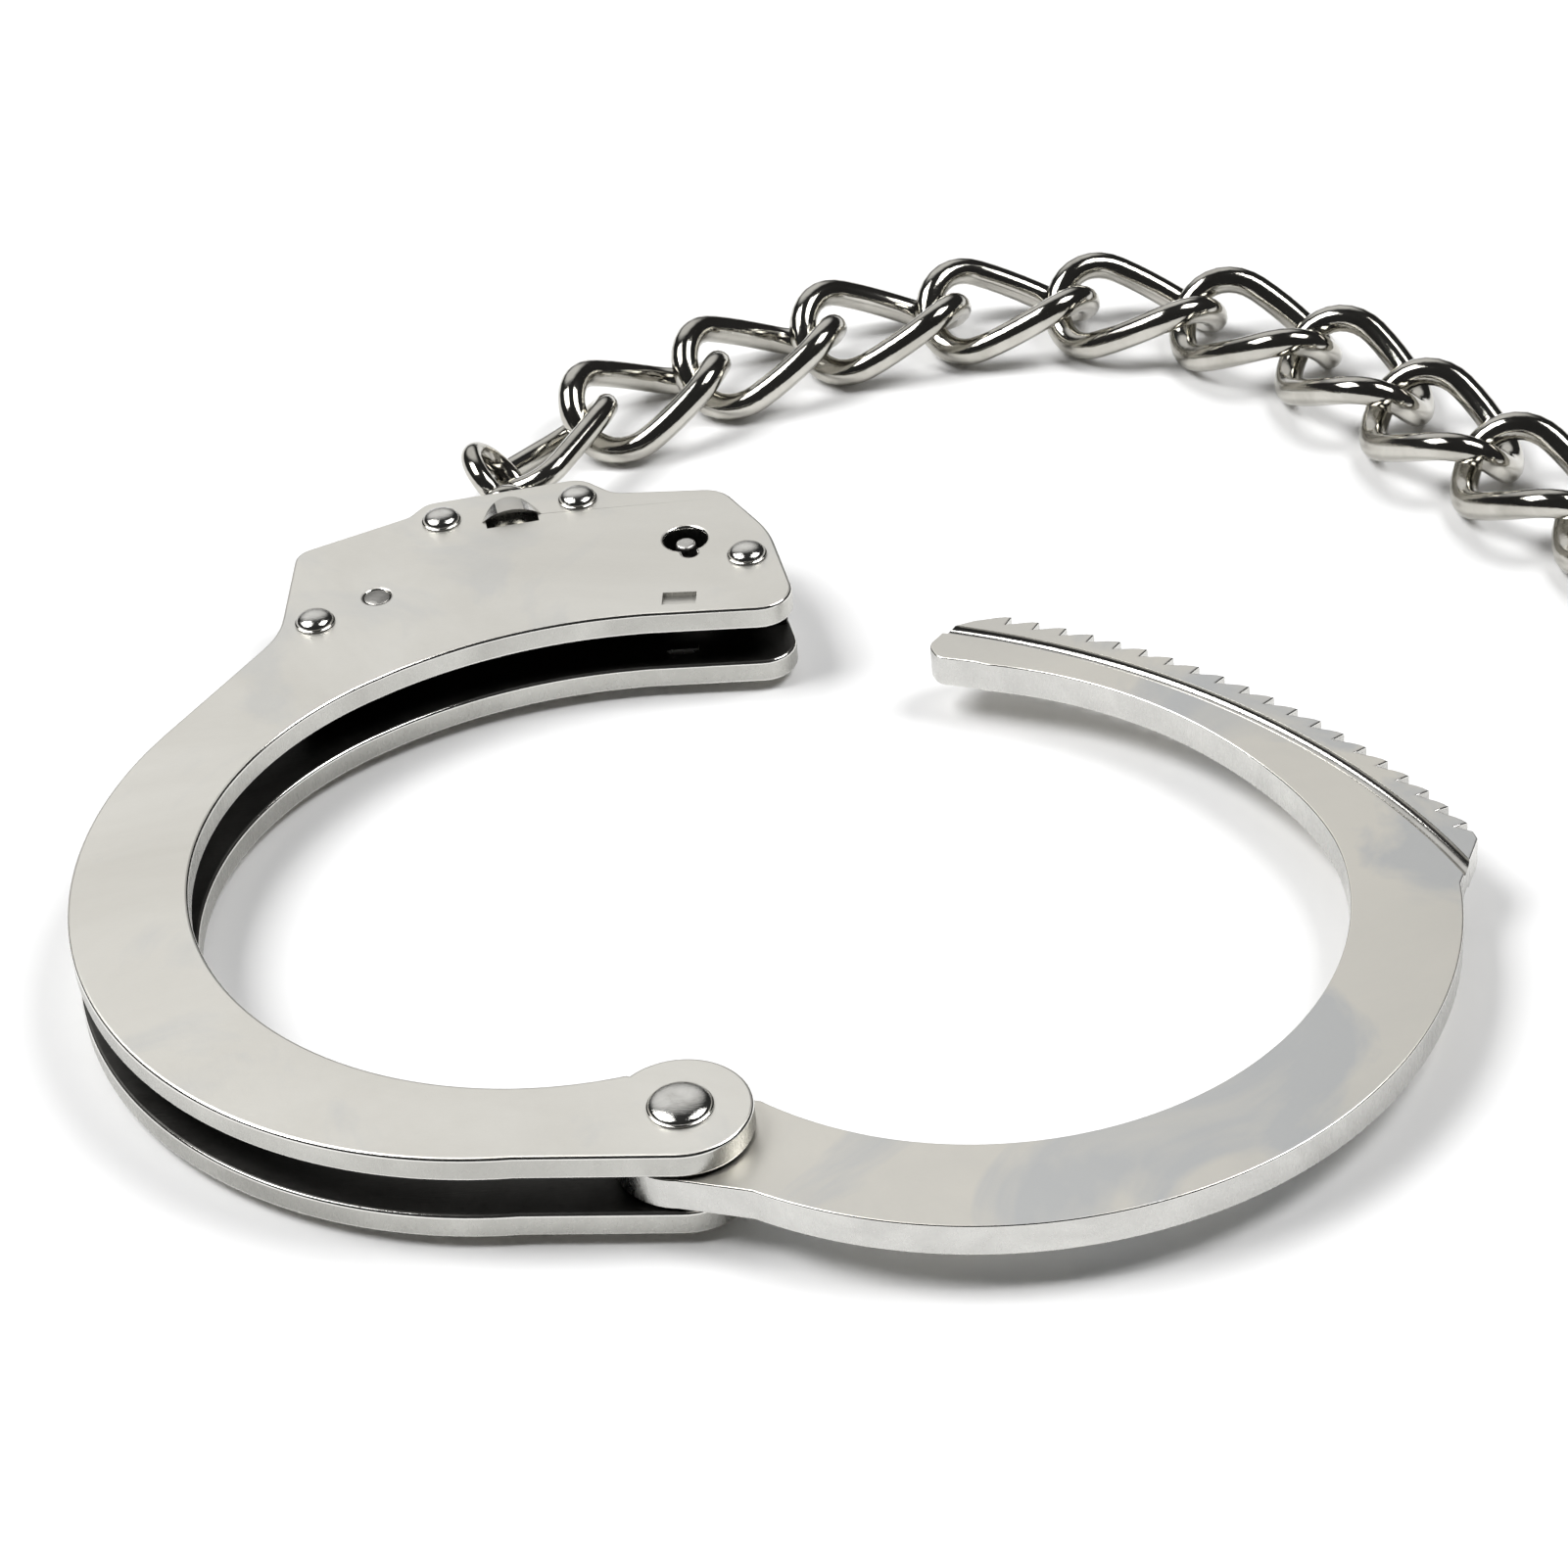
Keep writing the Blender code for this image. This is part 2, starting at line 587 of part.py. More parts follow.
def build_chain(meshes, root):
    """The links from the left cuff's eye outwards; returns the right cuff's matrix."""
    frame, joint = oval_link_frame()
    place("oval_link_01", meshes["oval_link"], CHAIN_NICKEL, frame, None, root)
    for number, angle in enumerate(HEADINGS[1:-1], 2):
        turn = Matrix.Rotation(math.radians(angle), 4, "Z")
        spot = Matrix.Translation(joint * MM)
        place(f"chain_link_{number:02d}", meshes["twisted_link"], CHAIN_NICKEL, spot @ turn, None, root)
        joint = joint + LINK_PITCH * Vector((*polar(1, angle), 0))
    turn = Matrix.Rotation(math.radians(HEADINGS[-1] - HEADINGS[0] - 180), 4, "Z")
    own_end = oval_link_frame()[1]
    far_cuff = Matrix.Translation(joint * MM) @ turn @ Matrix.Translation(-own_end * MM)
    name = f"oval_link_{len(HEADINGS):02d}"
    place(name, meshes["oval_link"], CHAIN_NICKEL, far_cuff @ frame, (LINK_PITCH, 0, 0), root)
    return far_cuff


def centre(root):
    """Moves the whole to stand on Z = 0 about the middle of its box."""
    corners = [piece.matrix_world @ vertex.co for piece in PARTS.objects if piece.type == "MESH"
               for vertex in piece.data.vertices]
    low = Vector(min(corner[axis] for corner in corners) for axis in range(3))
    high = Vector(max(corner[axis] for corner in corners) for axis in range(3))
    root.location = (-(low.x + high.x) / 2, -(low.y + high.y) / 2, -low.z)


def main():
    meshes = {
        "upper_cheek_plate": cheek_plate(True),
        "lower_cheek_plate": cheek_plate(False),
        "lock_frame": lock_frame(),
        "bow": bow(),
        "hinge_rivet": rivet(HINGE_SHANK, HINGE_HEAD, HINGE_DOME, 16),
        "body_rivet": rivet(RIVET_SHANK, RIVET_HEAD, DOME - SEAT, 12),
        "pawl": pawl(),
        "pawl_spring": pawl_spring(),
        "pawl_pivot_pin": pawl_pin(),
        "double_lock_bar": lock_bar(),
        "key_post": key_post(),
        "swivel": swivel(),
        "twisted_link": link(LINK_WIDTH, LINK_WIRE, LINK_TWIST),
        "oval_link": link(OVAL_WIDTH, OVAL_WIRE, OVAL_TWIST, OVAL_TILT),
    }
    root = empty("handcuffs", Matrix())
    build_cuff("left", Matrix(), meshes, root)
    far_cuff = build_chain(meshes, root)
    build_cuff("right", far_cuff, meshes, root)
    bpy.context.view_layer.update()
    centre(root)


for old in list(bpy.data.objects):
    bpy.data.objects.remove(old)
PARTS = bpy.data.collections.new("handcuffs")
CUTTERS = bpy.data.collections.new("cutters")
for made_collection in (PARTS, CUTTERS):
    bpy.context.scene.collection.children.link(made_collection)
PLATE_NICKEL = material("plate nickel", NICKEL, 0.35)
BOW_NICKEL = material("bow nickel", NICKEL, 0.3)
RIVET_NICKEL = material("rivet nickel", (0.72, 0.71, 0.69), 0.12)
CHAIN_NICKEL = material("chain nickel", (0.72, 0.71, 0.68), 0.12)
PIN_STEEL = material("pin steel", (0.45, 0.44, 0.42), 0.35)
SPRING_STEEL = material("spring steel", (0.5, 0.5, 0.5), 0.3)
DARK_STEEL = material("dark steel", (0.3, 0.3, 0.3), 0.45)
main()
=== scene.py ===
"""How the handcuffs look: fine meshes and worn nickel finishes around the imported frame.

Helpers take millimetres and degrees, like the cuff's own drawing: its bow's hinge is on Z at the
origin, the lock body lies towards +Y, and rivet domes reach down to Z = 0. The frame is in metres.
"""

import json
import math

import bmesh
import bpy
from mathutils import Matrix, Vector


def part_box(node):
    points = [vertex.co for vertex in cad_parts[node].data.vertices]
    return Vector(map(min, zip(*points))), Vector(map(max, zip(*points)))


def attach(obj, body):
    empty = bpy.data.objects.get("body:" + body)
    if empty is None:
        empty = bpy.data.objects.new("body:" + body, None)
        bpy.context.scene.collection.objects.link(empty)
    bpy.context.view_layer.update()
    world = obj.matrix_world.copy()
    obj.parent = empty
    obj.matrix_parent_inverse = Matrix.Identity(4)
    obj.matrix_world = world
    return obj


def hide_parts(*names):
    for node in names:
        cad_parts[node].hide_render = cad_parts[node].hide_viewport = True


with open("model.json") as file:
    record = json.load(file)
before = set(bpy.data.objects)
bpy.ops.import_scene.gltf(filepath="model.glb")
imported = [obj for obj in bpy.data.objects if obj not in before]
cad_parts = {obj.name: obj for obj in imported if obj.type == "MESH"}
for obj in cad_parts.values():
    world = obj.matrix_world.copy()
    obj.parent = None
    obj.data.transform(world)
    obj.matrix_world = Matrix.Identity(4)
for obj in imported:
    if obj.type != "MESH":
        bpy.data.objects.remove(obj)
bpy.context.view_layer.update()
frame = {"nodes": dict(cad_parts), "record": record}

MM = 0.001

# The cuff's dimensions, millimetres and degrees
TOOTH_RADIUS = 80.0
TOOTH_COUNT = 20
TOOTH_PITCH = 2.107
FIRST_TOOTH = 63.8
TOOTH_DEPTH = 1.3
PLATE = 2.5
GAP = 4.0
DOME = 1.1
HINGE_DOME = 0.9
BOW = 3.3
SEAT = 0.1
Z_LOWER = DOME
Z_GAP = Z_LOWER + PLATE
Z_UPPER = Z_GAP + GAP
Z_TOP = Z_UPPER + PLATE
Z_MID = Z_GAP + GAP / 2
HINGE_EYE = 6.3
INNER_ARC = ((-10.3, 38.1), 33.8)
OUTER_ARC = ((-13.0, 37.6), 42.2)
BODY_RIVETS = {
    "side": (-33.7, 78.1),
    "back": (-21.2, 94.5),
    "shoulder": (-7.1, 96.2),
    "nose": (9.8, 83.0),
}
PAWL_PIN = (-27.6, 81.7)
KEYHOLE = (3.7, 87.0)
KEYHOLE_RADIUS = 2.2
SWIVEL_SEAT = (-14.15, 95.35)
SWIVEL_AXIS = Vector((-0.12, 0.993, 0)).normalized()
RIVET_SHANK = 1.3
RIVET_HEAD = 2.0
HINGE_SHANK = 2.0
HINGE_HEAD = 2.9
PIN_RADIUS = 1.3
POST_RADIUS = 1.05
HOLE_CLEARANCE = 0.15
GROOVE = (75.65, 77.2, 0.65)
GROOVE_ROUND = 0.8
TAB_CORNER = (0.9, 75.5)
TAB_SIZE = (3.4, 2.1)
TAB_TURN = -5.5
LOUVRE_SIZE = (3.1, 1.05)
LOUVRE_RUN = (-1.6, 2.6)
LOUVRE_MOUTH = (-2.8, -1.1)
SWIVEL_HEAD = 3.0

# The chain
LINK_PITCH = 14.4
LINK_PLAY = 0.3
LINK_WIDTH = 14.5
LINK_WIRE = 3.0
LINK_TWIST = 90.0
CHAIN_Z = 4.2
EYE_CENTRE = 12.6
EYE_INNER = 3.2
EYE_PLAY = 0.4
EYE_RADIAL = 2.1
EYE_AXIAL = 2.3
EYE_ROLL = 52.0
EYE_CONTACT = 50.0
OVAL_WIDTH = 12.0
OVAL_WIRE = 2.6
OVAL_TILT = -32.0
OVAL_TWIST = 28.0
HEADINGS = (53, 30, 23, 10, -3, -19, -40, -60, -60, -56, -52, -48, -44, -40, -36, -32, -28, -24)

# Finishes
STAIN_COLOUR = (0.56, 0.58, 0.60, 1)
RELIEF_DEPTH = 0.0002

# The room, as directions and levels seen by polished metal
BRIGHT_SIDE = (-0.12, 0.80, 0.59)
BRIGHT_EDGE = (0.84, 0.97)
ROOM_LEVELS = (0.03, 0.88)

# The camera, from the left cuff's hinge
CAMERA_AT = (11.34, -269.2, 244.6)
CAMERA_DOWN = 36.82
CAMERA_ROLL = -5.38
LENS = 96.35


# --- outlines --------------------------------------------------------------------------------------


def polar(radius, angle, centre=(0, 0)):
    return (
        centre[0] + radius * math.cos(math.radians(angle)),
        centre[1] + radius * math.sin(math.radians(angle)),
    )


def arc(centre, radius, start, end, steps):
    return [polar(radius, start + (end - start) * k / steps, centre) for k in range(steps + 1)]


def circle(centre, radius, sides=40):
    return arc(centre, radius, 0, 360 - 360 / sides, sides - 1)


def rounded(corners, steps=8):
    """Points of a run of corners (x, y, fillet radius); a radius of 0 keeps the corner."""
    points = []
    for k, (x, y, radius) in enumerate(corners):
        if radius == 0:
            points.append((x, y))
            continue
        corner = Vector((x, y))
        before = (Vector(corners[k - 1][:2]) - corner).normalized()
        after = (Vector(corners[(k + 1) % len(corners)][:2]) - corner).normalized()
        half = before.angle(after) / 2
        reach = radius / math.tan(half)
        middle = corner + (before + after).normalized() * (radius / math.sin(half))
        first = corner + before * reach - middle
        last = corner + after * reach - middle
        turn = last.angle_signed(first)
        for step in range(steps + 1):
            points.append(tuple(middle + Matrix.Rotation(turn * step / steps, 2) @ first))
    return points


def blended(first, second):
    """Points that leave along one run of points and arrive along another of the same length."""
    points = []
    for k, (start, end) in enumerate(zip(first, second)):
        share = k / (len(first) - 1)
        points.append(tuple(Vector(start).lerp(Vector(end), share * share * (3 - 2 * share))))
    return points


def cheek_outline():
    hinge_end = arc((0, 0), HINGE_EYE, -96, 132, 48)
    inner = arc(*INNER_ARC, -80, -238, 110)
    throat = arc((-3.0, 27.1), 47.0, 119, 90, 20)
    body = rounded([
        (-1.0, 74.1, 0), (14.6, 73.0, 3.4), (12.3, 87.2, 14), (7.8, 95.7, 3.5), (-3.4, 96.9, 3),
        (-6.6, 100.2, 3), (-22.9, 98.1, 2.5), (-24.6, 95.9, 2), (-36.1, 91.0, 2.4), (-37.3, 76.6, 10),
        (*polar(OUTER_ARC[1], 146, OUTER_ARC[0]), 0),
    ])
    outer = arc(*OUTER_ARC, 149, 268, 100)
    return hinge_end + inner + throat + body + outer


def keyhole_outline():
    """A round hole with a notch for the key's bit, pointing at the wrist."""
    slot_half, slot_end = 0.75, 3.4
    side = math.degrees(math.asin(slot_half / KEYHOLE_RADIUS))
    round_part = arc(KEYHOLE, KEYHOLE_RADIUS, -82 + side, 278 - side, 40)
    tip = arc(polar(slot_end - slot_half, -82, KEYHOLE), slot_half, -172, 8, 12)
    return round_part + tip


def bow_outline():
    """The single strand: hinge eye, outer edge, heel, ratchet teeth, nose and inner edge."""
    eye = arc((0, 0), HINGE_EYE - 0.1, 36, 262, 40)
    outer = arc((29.0, 26.6), 42.1, -124, -4, 90)
    heel = [(73.3, 28.9), (73.7, 29.8), (73.5, 30.9)]
    teeth = []
    for k in range(TOOTH_COUNT - 1, -1, -1):
        tip = FIRST_TOOTH - k * TOOTH_PITCH
        root = TOOTH_RADIUS - TOOTH_DEPTH
        teeth += [
            polar(root, tip + 0.1), polar(TOOTH_RADIUS, tip), polar(TOOTH_RADIUS - 0.15, tip + 0.5),
            polar(TOOTH_RADIUS - 0.45, tip + 1.0), polar(TOOTH_RADIUS - 0.85, tip + 1.5),
        ]
    nose = rounded([
        (31.6, 71.8, 0), (29.0, 71.1, 1.6), (26.7, 68.3, 1.6), (27.4, 66.1, 1.5), (30.9, 64.8, 0),
    ], 6)
    far = arc((18.0, 23.5), 43.0, 71, 40, 26)
    turn = blended(arc((18.0, 23.5), 43.0, 39, 0, 32), arc((28.6, 27.3), 32.6, 39, 0, 32))
    near = arc((28.6, 27.3), 32.6, -1.5, -132, 90)
    return eye + outer + heel + teeth + nose + far + turn + near


# --- meshes ----------------------------------------------------------------------------------------


def evaluated_mesh(helper):
    """The helper object's evaluated mesh, closed and facing out; the helper is removed."""
    bpy.context.scene.collection.objects.link(helper)
    graph = bpy.context.evaluated_depsgraph_get()
    mesh = bpy.data.meshes.new_from_object(helper.evaluated_get(graph))
    bpy.data.objects.remove(helper)
    shape = bmesh.new()
    shape.from_mesh(mesh)
    bmesh.ops.remove_doubles(shape, verts=shape.verts, dist=1e-6)
    bmesh.ops.recalc_face_normals(shape, faces=shape.faces)
    shape.to_mesh(mesh)
    shape.free()
    return mesh


def extruded(outlines, low, high, bevel=0.0, segments=2):
    """A mesh between two heights with its edges rounded over; an outline inside another is a hole."""
    curve = bpy.data.curves.new("outline", "CURVE")
    curve.dimensions = "2D"
    curve.fill_mode = "BOTH"
    curve.extrude = ((high - low) / 2 - bevel) * MM
    curve.bevel_depth = bevel * MM
    curve.bevel_resolution = segments
    curve.offset = -bevel * MM
    for outline in outlines:
        spline = curve.splines.new("POLY")
        spline.points.add(len(outline) - 1)
        spline.use_cyclic_u = True
        for point, (x, y) in zip(spline.points, outline):
            point.co = (x * MM, y * MM, 0, 1)
    mesh = evaluated_mesh(bpy.data.objects.new("outline", curve))
    mesh.transform(Matrix.Translation((0, 0, (low + high) / 2 * MM)))
    return mesh


def tube(points, wire, resolution=6):
    """A closed loop of round wire through the points."""
    curve = bpy.data.curves.new("wire", "CURVE")
    curve.dimensions = "3D"
    curve.bevel_depth = wire / 2 * MM
    curve.bevel_resolution = resolution
    spline = curve.splines.new("POLY")
    spline.points.add(len(points) - 1)
    spline.use_cyclic_u = True
    for point, place in zip(spline.points, points):
        point.co = (*(Vector(place) * MM), 1)
    return evaluated_mesh(bpy.data.objects.new("wire", curve))


def turned(profile, steps=48):
    """A profile of (radius, height), from the top down, turned about Z."""
    mesh = bpy.data.meshes.new("profile")
    edges = [(k, k + 1) for k in range(len(profile) - 1)]
    mesh.from_pydata([(radius * MM, 0, height * MM) for radius, height in profile], edges, [])
    helper = bpy.data.objects.new("profile", mesh)
    screw = helper.modifiers.new("turn", "SCREW")
    screw.steps = screw.render_steps = steps
    screw.use_merge_vertices = True
    screw.merge_threshold = 1e-5
    return evaluated_mesh(helper)


def moved(mesh, spot):
    mesh.transform(Matrix.Translation(Vector((*spot, 0)) * MM))
    return mesh


def combined(mesh, other, operation):
    """One mesh cut by or joined to another."""
    cutter = bpy.data.objects.new("cutter", other)
    bpy.context.scene.collection.objects.link(cutter)
    helper = bpy.data.objects.new("helper", mesh)
    boolean = helper.modifiers.new(operation.lower(), "BOOLEAN")
    boolean.operation = operation
    boolean.solver = "EXACT"
    boolean.object = cutter
    result = evaluated_mesh(helper)
    bpy.data.objects.remove(cutter)
    return result


def swivel_frame():
    """The swivel's own frame: its stem along Z, its seat between the two back rivets."""
    across = Vector((0, 0, 1)).cross(SWIVEL_AXIS)
    spot = Vector((*SWIVEL_SEAT, Z_MID)) * MM
    axes = Matrix((across, Vector((0, 0, 1)), SWIVEL_AXIS)).transposed().to_4x4()
    return Matrix.Translation(spot) @ axes


def swivel_pocket():
    radius = SWIVEL_HEAD + 0.4
    pocket = turned([(0, -0.9), (radius, -0.9), (radius, -4.5), (0, -4.5)], 32)
    pocket.transform(swivel_frame())
    return pocket


def cap_outline(half_width, height, below):
    """A circular segment of that width and height standing on Y = 0, carried down to -below."""
    radius = (half_width**2 + height**2) / (2 * height)
    rim = math.degrees(math.asin((radius - height) / radius))
    top = arc((0, height - radius), radius, rim, 180 - rim, 24)
    return top + [(-half_width, -below), (half_width, -below)]


def on_swivel(outline, run, slope=0):
    """The outline swept along the swivel's axis on the upper plate, sinking at that slope."""
    swept = extruded([outline], *run)
    sink = Matrix.Identity(4)
    sink[1][2] = -slope
    sink[1][3] = (Z_TOP - Z_MID + slope * run[0]) * MM
    swept.transform(swivel_frame() @ sink)
    return swept


def louvre_mouth():
    wall, through = 0.4, 1.7
    half_width, height = LOUVRE_SIZE
    return on_swivel(cap_outline(half_width - wall, height - wall, through), LOUVRE_MOUTH)


def louvre_lip():
    """The plate's lip over the swivel's head: it rises from the back edge and opens at the mouth."""
    half_width, height = LOUVRE_SIZE
    into_plate = 0.6
    slope = height / (LOUVRE_RUN[1] - LOUVRE_RUN[0])
    lip = on_swivel(cap_outline(half_width, height, into_plate), LOUVRE_RUN, slope)
    return combined(lip, louvre_mouth(), "DIFFERENCE")


def tab_frame(z):
    spot = Matrix.Translation(Vector((*TAB_CORNER, z)) * MM)
    return spot @ Matrix.Rotation(math.radians(TAB_TURN), 4, "Z")


def tab_recess():
    """The outside of the pressed tab, deeper at its far edge."""
    width, length = TAB_SIZE
    shallow, depth, over = 0.3, 0.25, 1.0
    block = extruded([[(0, 0), (width, 0), (width, length), (0, length)]], -shallow, over)
    sink = Matrix.Identity(4)
    sink[2][1] = -depth / length
    block.transform(tab_frame(Z_TOP) @ sink)
    return block


def tab_tongue():
    """The inside of the pressed tab, which stands into the gap and runs in the bow's groove."""
    depth, into_plate = 0.6, 0.4
    inner, outer = GROOVE[0] + 0.3, GROOVE[1] - 0.3
    centre_angle, half_angle = 88.1, 1.2
    face = arc((0, 0), outer, centre_angle - half_angle, centre_angle + half_angle, 6)
    back = arc((0, 0), inner, centre_angle + half_angle, centre_angle - half_angle, 6)
    return extruded([face + back], Z_UPPER - depth, Z_UPPER + into_plate)


def cheek_plate(upper):
    """Both plates are drawn as the upper one; the lower is its mirror image with a hole for the post."""
    outlines = [cheek_outline(), circle((0, 0), HINGE_SHANK + HOLE_CLEARANCE)]
    outlines += [circle(spot, RIVET_SHANK + HOLE_CLEARANCE) for spot in BODY_RIVETS.values()]
    outlines.append(circle(PAWL_PIN, PIN_RADIUS + HOLE_CLEARANCE / 3))
    outlines.append(keyhole_outline() if upper else circle(KEYHOLE, POST_RADIUS + HOLE_CLEARANCE))
    mesh = extruded(outlines, Z_UPPER, Z_TOP, 0.32)
    for cutter in (louvre_mouth(), swivel_pocket(), tab_recess()):
        mesh = combined(mesh, cutter, "DIFFERENCE")
    for addition in (tab_tongue(), louvre_lip()):
        mesh = combined(mesh, addition, "UNION")
    if not upper:
        mesh.transform(Matrix.Translation((0, 0, 2 * Z_MID * MM)) @ Matrix.Diagonal((1, 1, -1, 1)))
        mesh.flip_normals()
    return mesh


def groove_cutter(height):
    """A round bar bent along the bow's guide groove at that height."""
    inner, outer, _ = GROOVE
    start, end, steps = 14, 70, 90
    path = arc((0, 0), (inner + outer) / 2, start, end, steps)
    curve = bpy.data.curves.new("groove", "CURVE")
    curve.dimensions = "3D"
    curve.bevel_depth = GROOVE_ROUND * MM
    curve.bevel_resolution = 10
    curve.use_fill_caps = True
    spline = curve.splines.new("POLY")
    spline.points.add(steps)
    for point, (x, y) in zip(spline.points, path):
        point.co = (x * MM, y * MM, height * MM, 1)
    return evaluated_mesh(bpy.data.objects.new("groove", curve))


def bow():
    """The bow's guide grooves are round at the bottom."""
    low, high = Z_MID - BOW / 2, Z_MID + BOW / 2
    lift = GROOVE_ROUND - GROOVE[2]
    outlines = [bow_outline(), circle((0, 0), HINGE_SHANK + HOLE_CLEARANCE)]
    mesh = extruded(outlines, low, high, 0.16)
    mesh = combined(mesh, groove_cutter(high + lift), "DIFFERENCE")
    return combined(mesh, groove_cutter(low - lift), "DIFFERENCE")


def dome(radius, base, height, steps=12):
    """Profile points of a spherical cap, from its apex to its rim; a negative height points down."""
    return [
        (radius * math.sin(math.pi / 2 * k / steps), base + height * math.cos(math.pi / 2 * k / steps))
        for k in range(steps + 1)
    ]


def rivet(shank, head, height):
    """A shank with a domed head at each end, each on a thin rolled rim."""
    rim, rim_height = 0.12, 0.16
    top = dome(head - rim, Z_TOP + SEAT + rim_height, height - rim_height)
    bottom = dome(head - rim, Z_LOWER - SEAT - rim_height, rim_height - height)
    upper_rim = [(head, Z_TOP + SEAT + rim_height / 2), (head, Z_TOP + SEAT)]
    lower_rim = [(head, Z_LOWER - SEAT), (head, Z_LOWER - SEAT - rim_height / 2)]
    shaft = [(shank, Z_TOP + SEAT), (shank, Z_LOWER - SEAT)]
    return turned([*top, *upper_rim, *shaft, *lower_rim, *reversed(bottom)])


def key_post():
    """The post that a key's barrel fits over, with a flange between the plates."""
    tip, flange, rounding, sunk = 1.9, 0.8, 0.35, 0.5
    foot = Z_GAP + SEAT
    centre = (POST_RADIUS - rounding, Z_TOP - sunk - rounding)
    crown = arc(centre, rounding, 90, 0, 6)
    profile = [
        (0, Z_TOP - sunk), *crown, (POST_RADIUS, foot + flange), (tip, foot + flange),
        (tip, foot), (POST_RADIUS, foot), (POST_RADIUS, Z_LOWER + SEAT), (0, Z_LOWER + SEAT),
    ]
    return moved(turned(profile), KEYHOLE)


def pawl_pin():
    crown, rim = 0.04, 0.12
    profile = [
        (0, Z_TOP), (PIN_RADIUS - rim, Z_TOP - crown), (PIN_RADIUS, Z_TOP - rim),
        (PIN_RADIUS, Z_LOWER + rim), (PIN_RADIUS - rim, Z_LOWER + crown), (0, Z_LOWER),
    ]
    return moved(turned(profile), PAWL_PIN)


def swivel():
    """Head, stem and collar turned about the stem, joined to a forged eye."""
    collar = arc((2.9, 4.8), 0.7, 90, -90, 12)
    neck = [
        (0.8, 9.0), (1.5, 8.85), (2.1, 8.5), (2.6, 8.0), (2.95, 7.4),
        (3.15, 6.8), (3.2, 6.3), (3.05, 5.95), (2.9, 5.75),
    ]
    head = [
        (1.7, 4.1), (1.7, -1.5), (SWIVEL_HEAD - 0.3, -1.5), (SWIVEL_HEAD, -2.2),
        (SWIVEL_HEAD - 0.3, -3.9), (0, -3.9),
    ]
    stem = turned([(0, 9.0), *neck, *collar, *head])
    ring = tube([(*polar(EYE_INNER + EYE_RADIAL / 2, 5 * k), 0) for k in range(72)], EYE_RADIAL)
    ring.transform(Matrix.Diagonal((1, 1, EYE_AXIAL / EYE_RADIAL, 1)))
    ring.transform(Matrix.Rotation(math.radians(90), 4, "X"))
    ring.transform(Matrix.Translation((0, 0, EYE_CENTRE * MM)))
    joined = combined(stem, ring, "UNION")
    joined.transform(Matrix.Rotation(math.radians(EYE_ROLL), 4, "Z"))
    joined.transform(swivel_frame())
    return joined


def link(width, wire, twist, tilt=0.0):
    """A wire loop along X, its first joint at 0 and its next at the pitch, twisted end to end."""
    length = LINK_PITCH + LINK_PLAY
    half_length = (length + wire) / 2
    half_width = (width - wire) / 2
    straight = half_length - half_width
    flat = []
    for side, first in ((1, -90), (-1, 90)):
        for angle in range(first, first + 181, 10):
            turn = math.radians(angle)
            flat.append((side * straight + half_width * math.cos(turn), half_width * math.sin(turn)))
        middle = [(side * straight * (1 - k / 2), side * half_width) for k in range(1, 4)]
        flat += middle
    points = []
    for along, across in flat:
        turn = math.radians(tilt - twist / 2 * along / half_length)
        points.append((along + LINK_PITCH / 2, across * math.cos(turn), across * math.sin(turn)))
    return tube(points, wire)


# --- finishes --------------------------------------------------------------------------------------


def socketed(nodes, links, kind, inputs=None, settings=None):
    """A node with its settings and inputs set; an input that is a socket is linked."""
    made = nodes.new(kind)
    for key, value in (settings or {}).items():
        setattr(made, key, value)
    for key, value in (inputs or {}).items():
        if isinstance(value, bpy.types.NodeSocket):
            links.new(value, made.inputs[key])
        else:
            made.inputs[key].default_value = value
    return made


def mixed(nodes, links, share, first, second):
    """The colour output of a Mix node; its colour sockets share their names, so they go by number."""
    made = socketed(nodes, links, "ShaderNodeMix", {0: share, 6: first, 7: second}, {"data_type": "RGBA"})
    return made.outputs[2]


